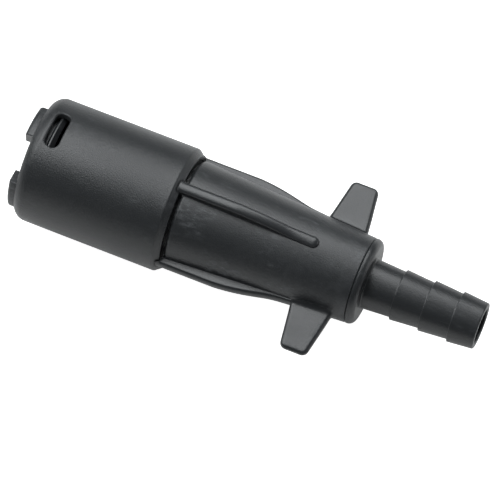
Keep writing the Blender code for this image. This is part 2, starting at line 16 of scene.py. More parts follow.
import bmesh
import bpy
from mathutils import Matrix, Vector


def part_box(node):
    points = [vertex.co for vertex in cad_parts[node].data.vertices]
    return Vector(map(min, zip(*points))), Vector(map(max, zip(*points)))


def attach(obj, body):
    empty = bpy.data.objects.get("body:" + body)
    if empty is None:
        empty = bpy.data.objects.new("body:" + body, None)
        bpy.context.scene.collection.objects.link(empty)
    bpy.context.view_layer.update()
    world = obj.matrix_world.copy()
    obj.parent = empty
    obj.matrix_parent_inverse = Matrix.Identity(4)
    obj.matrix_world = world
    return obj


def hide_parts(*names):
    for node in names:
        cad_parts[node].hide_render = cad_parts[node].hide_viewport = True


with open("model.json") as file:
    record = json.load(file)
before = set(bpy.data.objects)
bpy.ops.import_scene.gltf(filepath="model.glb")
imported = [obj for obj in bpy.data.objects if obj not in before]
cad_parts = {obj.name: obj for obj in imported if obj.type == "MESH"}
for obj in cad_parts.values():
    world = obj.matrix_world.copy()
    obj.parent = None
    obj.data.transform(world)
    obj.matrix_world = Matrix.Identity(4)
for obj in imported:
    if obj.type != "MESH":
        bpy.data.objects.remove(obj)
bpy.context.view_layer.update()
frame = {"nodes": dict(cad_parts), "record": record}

# %% [markdown]
# ## Places that every piece shares
#
# The emitter lies on its side with its axis along X. A place on it needs three numbers: how far along
# the axis it is, how far out from the axis, and the angle round it. Angles start at the wing on the -Y
# side and go up over the top, so 90 degrees is the highest line. All lengths are in metres, and the
# frame's own boxes say where each piece starts and ends, so nothing here has to be fitted by eye.

# %% Measure the frame
MM = 0.001
sleeve_low, sleeve_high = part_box("outer_sleeve")
body_low, body_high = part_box("winged_body")
inlet_low, inlet_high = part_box("barbed_inlet")
crown_low, crown_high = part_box("outlet_crown")
bush_low, bush_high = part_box("drip_outlet")
AXIS_HEIGHT = (sleeve_low.z + sleeve_high.z) / 2
SLEEVE_RADIUS = (sleeve_high.z - sleeve_low.z) / 2
FIT = 0.3 * MM
SLEEVE_REAR = sleeve_high.x
BODY_END = body_high.x
TIP = inlet_high.x
print(f"sleeve {SLEEVE_RADIUS / MM:.1f} mm radius, axis {AXIS_HEIGHT / MM:.1f} mm above the floor")


def outwards(angle):
    """The direction away from the axis at an angle in degrees."""
    turn = math.radians(angle)
    return Vector((0, -math.cos(turn), math.sin(turn)))


def sideways(angle):
    """The direction round the axis at an angle in degrees."""
    turn = math.radians(angle)
    return Vector((0, math.sin(turn), math.cos(turn)))


def on_axis(x):
    return Vector((x, 0, AXIS_HEIGHT))


# %% [markdown]
# ## Finishing a mesh
#
# Every piece ends in the same way: doubles are merged, faces are made to point out, and the mesh is
# shaded smooth with creases kept where two faces meet sharply. A plain smooth shade would bend the
# light over the long flat faces next to a small rounding. The Weighted Normal modifier lets the big
# faces win, so that a cylinder stays straight up to its rounded rim.

# %% A finished piece from a bmesh
MERGE = 0.002 * MM
CREASE = math.radians(38)


def finish_piece(name, shape, body, node, material, weighted=True):
    bmesh.ops.remove_doubles(shape, verts=shape.verts, dist=MERGE)
    bmesh.ops.dissolve_degenerate(shape, edges=shape.edges, dist=MERGE)
    bmesh.ops.recalc_face_normals(shape, faces=shape.faces)
    mesh = bpy.data.meshes.new(name)
    shape.to_mesh(mesh)
    shape.free()
    mesh.shade_smooth()
    mesh.set_sharp_from_angle(angle=CREASE)
    piece = bpy.data.objects.new(name, mesh)
    bpy.context.scene.collection.objects.link(piece)
    piece.data.materials.append(material)
    if weighted:
        even = piece.modifiers.new("even_shading", "WEIGHTED_NORMAL")
        even.keep_sharp = True
        even.weight = 80
    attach(piece, body)
    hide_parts(node)
    print(f"{name}: {len(mesh.polygons)} faces on {body}")
    return piece


# %% [markdown]
# ## The skin of the plastic
#
# Black fittings like this one are moulded in a tool whose steel was roughened by sparks. The plastic
# copies that texture as a fine, even grain, which turns a hard gloss into a soft satin sheen. The grain
# could be modelled, but it is only a few hundredths of a millimetre deep, so it is a height for a Bump
# node. It is made once as a node group, because the sleeve, the body and the tail all have it at
# different depths.

# %% Small tools for node trees


def add_node(tree, kind, **settings):
    node = tree.nodes.new(kind)
    for name, value in settings.items():
        setattr(node, name, value)
    return node


def new_group(name, inputs, outputs):
    """An empty shader group with named sockets: floats carry their default, vectors carry None."""
    tree = bpy.data.node_groups.new(name, "ShaderNodeTree")
    for label, value in inputs.items():
        kind = "NodeSocketVector" if value is None else "NodeSocketFloat"
        socket = tree.interface.new_socket(label, in_out="INPUT", socket_type=kind)
        if value is not None:
            socket.default_value = value
    for label in outputs:
        tree.interface.new_socket(label, in_out="OUTPUT", socket_type="NodeSocketFloat")
    return tree, tree.nodes.new("NodeGroupInput"), tree.nodes.new("NodeGroupOutput")


def math_node(tree, operation, first, second):
    """A Math node whose operands are sockets or plain numbers."""
    node = add_node(tree, "ShaderNodeMath", operation=operation)
    for socket, value in zip(node.inputs, (first, second)):
        if isinstance(value, (int, float)):
            socket.default_value = value
        else:
            tree.links.new(value, socket)
    return node.outputs[0]


def noise_node(tree, vector, scale, detail=2.0, roughness=0.5):
    node = add_node(tree, "ShaderNodeTexNoise")
    node.inputs["Scale"].default_value = scale
    node.inputs["Detail"].default_value = detail
    node.inputs["Roughness"].default_value = roughness
    tree.links.new(vector, node.inputs["Vector"])
    return node.outputs["Fac"]


def stretched(tree, vector, scale):
    """The coordinates with each direction scaled, so that a noise becomes streaks."""
    node = add_node(tree, "ShaderNodeMapping")
    node.inputs["Scale"].default_value = scale
    tree.links.new(vector, node.inputs["Vector"])
    return node.outputs["Vector"]


def between(tree, value, low, high):
    """Nought below low, one above high, and a smooth step between."""
    node = add_node(tree, "ShaderNodeMapRange", interpolation_type="SMOOTHSTEP")
    node.inputs["From Min"].default_value = low
    node.inputs["From Max"].default_value = high
    tree.links.new(value, node.inputs["Value"])
    return node.outputs["Result"]


# %% The spark-eroded grain
GRAINS_PER_METRE = 3600


def spark_grain():
    tree, given, made = new_group("spark_grain", {"Vector": None, "Scale": GRAINS_PER_METRE}, ["Height"])
    fine = add_node(tree, "ShaderNodeTexNoise")
    fine.inputs["Detail"].default_value = 3.0
    fine.inputs["Roughness"].default_value = 0.6
    pits = add_node(tree, "ShaderNodeTexVoronoi", feature="SMOOTH_F1")
    pits.inputs["Smoothness"].default_value = 0.6
    for texture in (fine, pits):
        tree.links.new(given.outputs["Vector"], texture.inputs["Vector"])
    tree.links.new(given.outputs["Scale"], fine.inputs["Scale"])
    tree.links.new(math_node(tree, "MULTIPLY", given.outputs["Scale"], 0.7), pits.inputs["Scale"])
    half = math_node(tree, "MULTIPLY", pits.outputs["Distance"], 0.5)
    tree.links.new(math_node(tree, "ADD", fine.outputs["Fac"], half), made.inputs["Height"])
    return tree


grain_group = spark_grain()
print("group:", grain_group.name)

# %% [markdown]
# ## Handling marks
#
# A fitting that has been pushed into hoses carries pale rub marks. They run along the axis, because
# that is how the piece slides against others in its box, and they show as lighter, duller streaks. A
# noise stretched along X gives streaks, and a second, wider noise lets them through only in patches.
# The flow of the plastic in the mould leaves broader, fainter clouds in the sheen.

# %% Rub marks and clouds
STREAK_STRETCH = (330, 800, 800)
PATCH_STRETCH = (70, 95, 95)
CLOUD_STRETCH = (45, 120, 120)


def rub_marks():
    tree, given, made = new_group("rub_marks", {"Vector": None, "Amount": 1.0}, ["Marks", "Clouds"])
    vector = given.outputs["Vector"]
    streaks = noise_node(tree, stretched(tree, vector, STREAK_STRETCH), 1.0, 5.0, 0.7)
    patches = noise_node(tree, stretched(tree, vector, PATCH_STRETCH), 1.0, 3.0, 0.6)
    thin = between(tree, streaks, 0.42, 0.72)
    where = between(tree, patches, 0.5, 0.68)
    shown = math_node(tree, "MULTIPLY", math_node(tree, "MULTIPLY", thin, where), given.outputs["Amount"])
    tree.links.new(shown, made.inputs["Marks"])
    clouds = noise_node(tree, stretched(tree, vector, CLOUD_STRETCH), 1.0, 3.0)
    tree.links.new(between(tree, clouds, 0.3, 0.7), made.inputs["Clouds"])
    return tree


marks_group = rub_marks()
print("group:", marks_group.name)

# %% [markdown]
# ## Worn edges
#
# An edge that sticks out is rubbed first, and looks a little paler than the faces beside it. The
# Geometry node's Pointiness says how sharply the surface turns outwards at each point. That only works
# on a mesh with enough points at its edges, which these rounded pieces have.

# %% Edge wear
WEAR_STARTS = 0.52
WEAR_FULL = 0.60
WEAR_SCALE = 420.0
WEAR_LEAST = 0.4


def worn_edges():
    tree, given, made = new_group("worn_edges", {"Vector": None, "Amount": 1.0}, ["Wear"])
    shape = add_node(tree, "ShaderNodeNewGeometry")
    edge = between(tree, shape.outputs["Pointiness"], WEAR_STARTS, WEAR_FULL)
    broken = between(tree, noise_node(tree, given.outputs["Vector"], WEAR_SCALE, 3.0), 0.35, 0.65)
    uneven = math_node(tree, "MULTIPLY", edge, math_node(tree, "ADD", broken, WEAR_LEAST))
    tree.links.new(math_node(tree, "MULTIPLY", uneven, given.outputs["Amount"]), made.inputs["Wear"])
    return tree


edges_group = worn_edges()
print("group:", edges_group.name)

# %% [markdown]
# ## Black satin plastic
#
# The plastic is polypropylene coloured with carbon black: a very dark base, with all its looks in the
# sheen. Rub marks and worn edges mix a grey into the colour, and the clouds shift the roughness, so a
# highlight has a slightly uneven edge as on a moulded face. The sleeve is grained most, because fingers
# turn it. The ribs and wings come from a smoother part of the tool and are the glossiest.

# %% The black plastics
BLACK = (0.019, 0.0205, 0.022, 1)
RUBBED = (0.075, 0.079, 0.083, 1)
CLOUDS_DULL = 0.07
RUBBING_DULLS = 0.18
GRAIN_DEPTH = 0.075 * MM
PLASTIC_IOR = 1.5


def place_group(tree, group, vector, **values):
    node = add_node(tree, "ShaderNodeGroup", node_tree=group)
    tree.links.new(vector, node.inputs["Vector"])
    for name, value in values.items():
        node.inputs[name].default_value = value
    return node


def new_material(name):
    """A material with its Principled BSDF and the Object coordinates that its patterns read."""
    material = bpy.data.materials.new(name)
    material.use_nodes = True
    tree = material.node_tree
    place = add_node(tree, "ShaderNodeTexCoord")
    return material, tree, tree.nodes["Principled BSDF"], place.outputs["Object"]


def mix_colours(tree, share, first, second):
    node = add_node(tree, "ShaderNodeMix", data_type="RGBA")
    tree.links.new(share, node.inputs["Factor"])
    for socket, value in ((node.inputs["A"], first), (node.inputs["B"], second)):
        if isinstance(value, tuple):
            socket.default_value = value
        else:
            tree.links.new(value, socket)
    return node.outputs["Result"]


def bump(tree, height, strength, distance):
    node = add_node(tree, "ShaderNodeBump")
    node.inputs["Strength"].default_value = strength
    node.inputs["Distance"].default_value = distance
    tree.links.new(height, node.inputs["Height"])
    return node.outputs["Normal"]


def black_plastic(name, roughness, grain, marks, wear):
    material, tree, shader, vector = new_material(name)
    handled = place_group(tree, marks_group, vector, Amount=marks)
    edges = place_group(tree, edges_group, vector, Amount=wear)
    pale = math_node(tree, "MAXIMUM", handled.outputs["Marks"], edges.outputs["Wear"])
    tree.links.new(mix_colours(tree, pale, BLACK, RUBBED), shader.inputs["Base Color"])
    cloudy = math_node(tree, "MULTIPLY", handled.outputs["Clouds"], CLOUDS_DULL)
    dull = math_node(tree, "MULTIPLY", pale, RUBBING_DULLS)
    rough = math_node(tree, "ADD", math_node(tree, "ADD", cloudy, dull), roughness)
    tree.links.new(rough, shader.inputs["Roughness"])
    texture = place_group(tree, grain_group, vector)
    tree.links.new(bump(tree, texture.outputs["Height"], grain, GRAIN_DEPTH), shader.inputs["Normal"])
    shader.inputs["IOR"].default_value = PLASTIC_IOR
    return material


sleeve_plastic = black_plastic("grained_sleeve_black", roughness=0.34, grain=0.8, marks=0.35, wear=0.35)
body_plastic = black_plastic("body_black", roughness=0.33, grain=0.6, marks=1.3, wear=0.5)
rib_plastic = black_plastic("rib_black", roughness=0.28, grain=0.35, marks=0.4, wear=0.6)
tail_plastic = black_plastic("tail_black", roughness=0.32, grain=0.5, marks=0.3, wear=0.4)
print("black plastics:", sleeve_plastic.name, body_plastic.name, rib_plastic.name, tail_plastic.name)

# %% [markdown]
# ## Turned shapes
#
# Most of the emitter is round, so most pieces are a profile spun once round the axis. The profile is
# written as points of (x, distance from the axis), and every rounded corner in it is an arc. A Screw
# modifier would do the same, but the spin operator leaves a plain mesh that can be cut and bevelled
# afterwards.

# %% Profiles and spinning
ROUND_STEPS = 176
TURN = math.tau


def arc(x, out, radius, start, end, steps=8):
    """Points round a centre: 0 degrees points along +X and 90 degrees points away from the axis."""
    turns = [math.radians(start + (end - start) * i / steps) for i in range(steps + 1)]
    return [(x + radius * math.cos(t), out + radius * math.sin(t)) for t in turns]


def spun(profile, sweep=TURN, start=90.0, steps=ROUND_STEPS, closed=True):
    """A profile turned about the axis, from an angle in degrees and through a sweep in radians."""
    shape = bmesh.new()
    direction = outwards(start)
    points = [shape.verts.new(on_axis(x) + direction * out) for x, out in profile]
    pairs = list(zip(points, points[1:])) + ([(points[-1], points[0])] if closed else [])
    edges = [shape.edges.new(pair) for pair in pairs]
    full = sweep >= TURN
    if not full:
        shape.faces.new(points)
    bmesh.ops.spin(
        shape,
        geom=shape.verts[:] + shape.edges[:] + shape.faces[:],
        cent=on_axis(0),
        axis=(1, 0, 0),
        dvec=(0, 0, 0),
        angle=-sweep,
        steps=steps,
        use_merge=full,
        use_duplicate=False,
    )
    return shape


# %% [markdown]
# ## Wrapped grids
#
# A rib or a wing grows out of a round body through a small fillet, and no turned shape has that form.
# A Boolean union with a bevel along the join could make it, but a bevel over a curved join tears
# easily. Here a flat grid is wrapped into a closed form instead: its columns go round the outline, its
# rows go from the root to the top, and each row is placed by how far it stands off the body. The
# fillet, the wall and the rounded edge are then simply rows of one clean mesh.

# %% Wrap a grid round an outline


def wrapped(columns, rows, where):
    """A grid whose columns close into a ring, placed point by point, with its doubles merged."""
    shape = bmesh.new()
    bmesh.ops.create_grid(shape, x_segments=columns, y_segments=rows, size=0.5)
    for point in shape.verts:
        column = round((point.co.x + 0.5) * columns) % columns
        row = round((point.co.y + 0.5) * rows)
        point.co = where(column, row)
    bmesh.ops.remove_doubles(shape, verts=shape.verts, dist=MERGE)
    return shape


def outline_stops(sides, corner_steps):
    """Places round a rounded rectangle: (share of the length, side, angle of the corner)."""
    stops = []
    for first, second, start in ((1, 1, 90), (1, -1, 0), (-1, -1, -90), (-1, 1, -180)):
        for i in range(corner_steps + 1):
            stops.append((first, second, start - 90 * i / corner_steps))
        if second == -1 and first == 1:
            stops += [(1 - 2 * i / sides, -1, -90) for i in range(1, sides)]
        if second == 1 and first == -1:
            stops += [(-1 + 2 * i / sides, 1, 90) for i in range(1, sides)]
    return stops


def on_outline(stop, half_length, half_width, corner, grow=0.0):
    """A point of the outline, moved out by grow: lengthways and sideways from its middle."""
    share, side, angle = stop
    turn = math.radians(angle)
    reach = corner + grow
    along = share * (half_length - corner) + reach * math.cos(turn)
    return along, side * (half_width - corner) + reach * math.sin(turn)


print("outline of a wing has", len(outline_stops(12, 5)), "places")

# %% [markdown]
# ## The turning sleeve
#
# The sleeve is the plain cylinder that the hand turns. Its front corner has a generous round, so that it
# doesn't cut the palm. Its rear end is a soft shoulder, then a short cone that falls to a small lip, and
# leads the eye into the gap before the body. Near the front it has two slots opposite each other, which
# the crown's hooks snap into. It is one spun profile, and the arcs have enough steps to catch the light
# smoothly.

# %% Sleeve sizes
SLEEVE_LENGTH = 43.2 * MM
FRONT_ROUND = 3.5 * MM
REAR_DROP = 1.55 * MM
REAR_TILT = 38.0
REAR_SHOULDER = 0.7 * MM
REAR_LIP = 0.3 * MM
FRONT_WALL = 1.5 * MM
REAR_WALL = 2.5 * MM
SLEEVE_STEP = 17.0 * MM
RIM_BREAK = 0.2 * MM
FRONT = SLEEVE_REAR - SLEEVE_LENGTH
FRONT_BORE = SLEEVE_RADIUS - FRONT_WALL
REAR_BORE = SLEEVE_RADIUS - REAR_WALL


def sleeve_cone():
    """The rear rim: a round shoulder, a cone and a small lip, from front to rear."""
    start = 90 - REAR_TILT
    lip = arc(SLEEVE_REAR - REAR_LIP, SLEEVE_RADIUS - REAR_DROP, REAR_LIP, start, 0, 5)
    shoulder = arc(0, SLEEVE_RADIUS - REAR_SHOULDER, REAR_SHOULDER, 90, start, 6)
    run = (shoulder[-1][1] - lip[0][1]) / math.tan(math.radians(REAR_TILT))
    back = lip[0][0] - run - shoulder[-1][0]
    return [(x + back, out) for x, out in shoulder] + lip


def sleeve_profile():
    hollow = SLEEVE_RADIUS - FRONT_ROUND
    lip = 180 - math.degrees(math.asin((FRONT_BORE - hollow) / FRONT_ROUND))
    profile = arc(FRONT + FRONT_ROUND, hollow, FRONT_ROUND, lip, 90, 14)
    profile += sleeve_cone()
    profile += [(SLEEVE_REAR, REAR_BORE + RIM_BREAK), (SLEEVE_REAR - RIM_BREAK, REAR_BORE)]
    profile += [(FRONT + SLEEVE_STEP, REAR_BORE), (FRONT + SLEEVE_STEP, FRONT_BORE)]
    return profile


print(f"sleeve from {FRONT / MM:.1f} to {SLEEVE_REAR / MM:.1f} mm")

# %% [markdown]
# The slots are cut with a Boolean, because a hole through a curved wall is what a Boolean does best. A
# plain cutter would leave a knife edge. This one is a wrapped grid that flares out just under the
# surface, so the cut itself leaves the softened rim that a moulded slot has. A Boolean can also fail
# without saying so, and leave next to nothing, so the volume that is left is compared with the volume
# before the cut.

# %% Cut the slots
SLOT_ANGLE = 98.0
SLOT_COUNT = 2
SLOT_MIDDLE = 6.2 * MM
SLOT_LENGTH = 11.4 * MM
SLOT_WIDTH = 4.0 * MM
SLOT_RIM = 0.5 * MM
FLARE_END = 62
FLARE_STEPS = 5
CUT_PAST = 0.9 * MM
LEAST_LEFT = 0.8


def slot_cutter(angle, radius, wall, length, width):
    """A stadium-shaped plug that follows a round wall and widens at its surface.

    The middle of its top stands higher, so that the flat facets there clear the round wall.
    """
    stops = outline_stops(sides=10, corner_steps=12)
    flare = [math.radians(FLARE_END * i / FLARE_STEPS) for i in range(FLARE_STEPS + 1)]
    levels = [(-wall - CUT_PAST, 0.0)]
    levels += [(-SLOT_RIM * (1 - math.sin(t)), SLOT_RIM * (1 - math.cos(t))) for t in flare]
    rise = CUT_PAST / 2
    levels.append((levels[-1][0] + rise, levels[-1][1] + rise * math.tan(flare[-1])))
    rows = [levels[0]] + levels + [levels[-1]]

    def where(column, row):
        level, grow = rows[row]
        out = radius + level
        along, across = on_outline(stops[column], length / 2, width / 2, width / 2, grow)
        if row in (0, len(rows) - 1):
            along, across = 0.0, 0.0
        if row == len(rows) - 1:
            out += radius * (1 - math.cos(length / 2 / radius))
        turned_by = math.degrees(along / radius)
        return on_axis(FRONT + SLOT_MIDDLE + across) + outwards(angle + turned_by) * out

    return wrapped(len(stops), len(rows) - 1, where)


def mesh_object(name, shape):
    mesh = bpy.data.meshes.new(name)
    shape.to_mesh(mesh)
    shape.free()
    made = bpy.data.objects.new(name, mesh)
    bpy.context.scene.collection.objects.link(made)
    return made


def face_out(shape):
    """A closed shape whose faces all look outwards, as a Boolean needs them."""
    bmesh.ops.recalc_face_normals(shape, faces=shape.faces)
    if shape.calc_volume(signed=True) < 0:
        bmesh.ops.reverse_faces(shape, faces=shape.faces)
    return shape


def cut_away(shape, cutters):
    """The shape with every cutter taken out of it, as a new bmesh."""
    before = face_out(shape).calc_volume()
    whole = mesh_object("uncut", shape)
    tools = [mesh_object("cutter", face_out(cutter)) for cutter in cutters]
    for tool in tools:
        step = whole.modifiers.new("cut", "BOOLEAN")
        step.operation = "DIFFERENCE"
        step.solver = "EXACT"
        step.object = tool
    bpy.context.view_layer.update()
    mesh = bpy.data.meshes.new_from_object(whole.evaluated_get(bpy.context.evaluated_depsgraph_get()))
    result = bmesh.new()
    result.from_mesh(mesh)
    left = result.calc_volume() / before
    if left < LEAST_LEFT:
        raise ValueError(f"the cut left only {left:.2f} of the piece")
    print(f"the cut left {left:.3f} of the piece")
    for used in [whole] + tools:
        bpy.data.objects.remove(used)
    return result


def slot_cutters(radius, wall, length, width):
    """One cutter at each slot's angle."""
    angles = [SLOT_ANGLE + i * 360 / SLOT_COUNT for i in range(SLOT_COUNT)]
    return [slot_cutter(angle, radius, wall, length, width) for angle in angles]


slots = slot_cutters(SLEEVE_RADIUS, FRONT_WALL, SLOT_LENGTH, SLOT_WIDTH)
shell = cut_away(spun(sleeve_profile()), slots)
finish_piece("sleeve_shell", shell, "dial", "outer_sleeve", sleeve_plastic)

# %% [markdown]
# ## The outlet crown
#
# The crown is a cup that snaps into the front of the sleeve. Four lugs stand out of it in front, so that
# the outlet never lies flat against the ground and water can leave between them. The cup is a full
# spin, with a pocket through its wall behind each of the sleeve's slots, so that the hook there can
# bend. The pocket is larger than the slot, so that its edges stay out of sight. Each lug is the same
# idea with a short sweep, and its edges are then bevelled. Each hook grows from its pocket's front edge
# and rises to a ridge, which shows as a thin bright line in the dark of the slot.

# %% Crown cup
CROWN_RADIUS = FRONT_BORE - FIT
CROWN_FACE = FRONT + 1.8 * MM
CROWN_REAR = crown_high.x
CROWN_WALL = 1.6 * MM
CROWN_WEB = 2.2 * MM
HUB_RADIUS = 8.0 * MM
POCKET_LENGTH = 15.1 * MM
POCKET_WIDTH = 5.3 * MM
BUSH_RADIUS = (bush_high.z - bush_low.z) / 2


def crown_profile():
    web = CROWN_FACE + CROWN_WEB
    profile = arc(CROWN_FACE + FIT, CROWN_RADIUS - FIT, FIT, 180, 90, 4)
    profile += [(CROWN_REAR, CROWN_RADIUS), (CROWN_REAR, CROWN_RADIUS - CROWN_WALL)]
    profile += [(web, CROWN_RADIUS - CROWN_WALL), (web, HUB_RADIUS), (CROWN_REAR, HUB_RADIUS)]
    profile += [(CROWN_REAR, BUSH_RADIUS + FIT), (CROWN_FACE, BUSH_RADIUS + FIT)]
    return profile


pockets = slot_cutters(CROWN_RADIUS, CROWN_WALL, POCKET_LENGTH, POCKET_WIDTH)
cup = cut_away(spun(crown_profile()), pockets)
finish_piece("crown_cup", cup, "dial", "outlet_crown", sleeve_plastic)

# %% Crown lugs
LUG_COUNT = 4
LUG_ANGLE = 104.0
LUG_SWEEP = 39.0
LUG_DEPTH = 6.2 * MM
LUG_ROUND = 1.1 * MM
LUG_EDGE = 0.45 * MM
LUG_SLOPE = 0.4 * MM
LUG_TIP = crown_low.x
SHARP = 0.6


def soften(shape, width, segments):
    """Rounds every edge of a shape that turns by more than SHARP radians."""
    sharp = [edge for edge in shape.edges if edge.is_manifold and edge.calc_face_angle() > SHARP]
    bmesh.ops.bevel(
        shape,
        geom=sharp,
        offset=width,
        offset_type="OFFSET",
        affect="EDGES",
        segments=segments,
        profile=0.5,
        material=-1,
        clamp_overlap=True,
    )
    return shape


def lug_profile():
    inner = CROWN_RADIUS - LUG_DEPTH
    root = CROWN_FACE + CROWN_WEB / 2
    middle = LUG_TIP + LUG_SLOPE + LUG_ROUND
    profile = [(root, CROWN_RADIUS)] + arc(middle, CROWN_RADIUS - LUG_ROUND, LUG_ROUND, 90, 170, 6)
    return profile + [(LUG_TIP, inner), (root, inner)]


for i in range(LUG_COUNT):
    middle_angle = LUG_ANGLE + i * 360 / LUG_COUNT
    lug = spun(lug_profile(), math.radians(LUG_SWEEP), middle_angle - LUG_SWEEP / 2, steps=24)
    soften(lug, LUG_EDGE, 4)
    finish_piece(f"crown_lug_{i + 1}", lug, "dial", "outlet_crown", body_plastic)

# %% Crown hooks
HOOK_RISE = 0.1 * MM
HOOK_LIP = 0.5 * MM
HOOK_RIDGE = 0.5 * MM
HOOK_LENGTH = POCKET_LENGTH + 2 * FIT
HOOK_SHIFT = 0.9 * MM
HOOK_EDGE = 0.12 * MM


def hook_profile():
    """A low base from the pocket's front edge, then the ridge that snaps behind the slot."""
    front = FRONT + SLOT_MIDDLE - POCKET_WIDTH / 2 - FIT
    sunk = CROWN_RADIUS - CROWN_WALL
    base = sunk + HOOK_LIP
    top = CROWN_RADIUS + HOOK_RISE
    ridge = FRONT + SLOT_MIDDLE - HOOK_SHIFT
    back = ridge + 3 * HOOK_RIDGE
    profile = [(front, sunk), (front, base), (ridge - HOOK_RIDGE, base), (ridge, top)]
    return profile + [(ridge + HOOK_RIDGE, top), (back, base), (back, sunk)]


hook_sweep = HOOK_LENGTH / CROWN_RADIUS
for i in range(SLOT_COUNT):
    first_angle = SLOT_ANGLE + i * 360 / SLOT_COUNT - math.degrees(hook_sweep) / 2
    hook = spun(hook_profile(), hook_sweep, first_angle, steps=20)
    soften(hook, HOOK_EDGE, 3)
    finish_piece(f"crown_hook_{i + 1}", hook, "dial", "outlet_crown", rib_plastic)

# %% [markdown]
# ## The drip outlet
#
# The drips leave through a bush in the middle of the crown. A rounded mouth lets a drop hang and fall
# cleanly. It is one short spun profile.

# %% Outlet bush
BUSH_BORE = 3.4 * MM
BUSH_ROUND = 0.8 * MM
BUSH_EDGE = 0.5 * MM


def bush_profile():
    front, rear = bush_low.x, bush_high.x
    profile = arc(front + BUSH_ROUND, BUSH_BORE + BUSH_ROUND, BUSH_ROUND, 270, 180, 6)
    profile += arc(front + BUSH_EDGE, BUSH_RADIUS - BUSH_EDGE, BUSH_EDGE, 180, 90, 5)
    return profile + [(rear, BUSH_RADIUS), (rear, BUSH_BORE)]


finish_piece("outlet_bush", spun(bush_profile()), "dial", "drip_outlet", rib_plastic)

# %% [markdown]
# ## The body's barrel
#
# The body narrows from the sleeve to the hose tail, so that its walls have a draft and leave the mould
# easily. A narrow, deep gap parts it from the sleeve, and its rounded front rim shows as a thin bright
# line behind that dark gap. The neck and its O-ring grooves are hidden, but they are kept, because the
# rings inside sit in them.

# %% Barrel profile
NECK_RADIUS = REAR_BORE - FIT
RIM_RADIUS = NECK_RADIUS + 0.3 * MM
RIM_START = SLEEVE_REAR + 0.65 * MM
RIM_ROUND = 0.9 * MM
GAP_DEPTH = 1.4 * MM
BODY_START = SLEEVE_REAR + 1.3 * MM
REAR_RADIUS = (inlet_high.z - inlet_low.z) / 2
BARREL_WALL = 1.95 * MM
NECK_WALL = 3.2 * MM
CARTRIDGE_END = BODY_START + 15.5 * MM
SNAP_GROOVE = 1.1 * MM
END_BREAK = 0.3 * MM


def barrel_radius(x):
    share = (x - BODY_START) / (BODY_END - BODY_START)
    return RIM_RADIUS + (REAR_RADIUS - RIM_RADIUS) * share


def ring_groove(node, inner_gap=FIT):
    """The groove round an O-ring, with room on each side of it."""
    low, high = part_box(node)
    section = (high.x - low.x) + 2 * FIT
    floor = (high.z - low.z) / 2 - section + inner_gap
    front, rear = low.x - FIT, high.x + FIT
    return [(front, NECK_RADIUS), (front, floor), (rear, floor), (rear, NECK_RADIUS)]


def barrel_profile():
    core = NECK_RADIUS - NECK_WALL
    bore = REAR_RADIUS - BARREL_WALL
    profile = [(body_low.x, core), (body_low.x, NECK_RADIUS - FIT), (body_low.x + FIT, NECK_RADIUS)]
    ring_low, ring_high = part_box("snap_ring")
    floor = NECK_RADIUS - SNAP_GROOVE
    profile += [(ring_low.x - FIT, NECK_RADIUS), (ring_low.x - FIT, floor)]
    profile += [(ring_high.x + FIT, floor), (ring_high.x + FIT, NECK_RADIUS)]
    profile += ring_groove("front_o_ring") + ring_groove("rear_o_ring")
    gap_floor = NECK_RADIUS - GAP_DEPTH
    profile += [(SLEEVE_REAR - FIT, NECK_RADIUS), (SLEEVE_REAR - FIT, gap_floor), (RIM_START, gap_floor)]
    profile += arc(RIM_START + RIM_ROUND, RIM_RADIUS - RIM_ROUND, RIM_ROUND, 180, 90, 8)
    profile += [(BODY_END - END_BREAK, barrel_radius(BODY_END)), (BODY_END, REAR_RADIUS - END_BREAK)]
    return profile + [(BODY_END, bore), (CARTRIDGE_END, bore), (CARTRIDGE_END, core)]


finish_piece("body_barrel", spun(barrel_profile()), "housing", "winged_body", body_plastic)

# %% [markdown]
# ## Ribs
#
# Four ribs run back from the sleeve. They stiffen the body and give the fingers a hold. Each starts with
# a squarer nose that reaches over the sleeve's cone and clears it, so that the sleeve can turn under it.
# The rib keeps its height at first, then falls in a curve to a low ridge with a blunt round end. It
# stands on the barrel with a small fillet and has a crest rounded like a bead. The rows of a wrapped
# grid follow that section at every place along the rib.

# %% Rib heights
RIB_COUNT = 4
RIB_WIDTH = 3.1 * MM
RIB_CREST = SLEEVE_RADIUS - 0.5 * MM
RIB_START = SLEEVE_REAR - 0.85 * MM
RIB_CLEAR = 0.15 * MM
RIB_END = BODY_START + 38.0 * MM
RIB_KNEE = BODY_START + 11.5 * MM
RIB_FOOT = RIB_KNEE + 18.0 * MM
RIB_RIDGE = 0.8 * MM
RIB_BLEND = 0.8 * MM
RIB_FILLET = 0.3 * MM
RIB_CROWN = 0.9 * MM
RIB_FLAT = 0.15 * MM
RIB_SUNK = 1.2 * MM
RIB_FRONT_CORNER = 0.4 * MM
RIB_FRONT_SHARE = 0.2
RIB_FILLET_SHARE = 0.2
RIB_CROWN_SHARE = 0.75


def rib_top(x):
    """The crest: level, then a parabola down to a low ridge that follows the taper."""
    foot = barrel_radius(RIB_FOOT) + RIB_RIDGE
    fall = max(0.0, x - RIB_KNEE) / (RIB_FOOT - RIB_KNEE)
    curve = RIB_CREST - (RIB_CREST - foot) * fall**2
    ridge = barrel_radius(x) + RIB_RIDGE
    return min(RIB_CREST, (curve + ridge + math.hypot(curve - ridge, RIB_BLEND)) / 2)


def over_cone(x):
    """How far out the rib's underside must stay to clear the turning sleeve."""
    if x > SLEEVE_REAR + FIT:
        return 0.0
    ahead = max(0.0, SLEEVE_REAR - x)
    return SLEEVE_RADIUS - REAR_DROP + REAR_LIP + RIB_CLEAR + ahead * math.tan(math.radians(REAR_TILT))


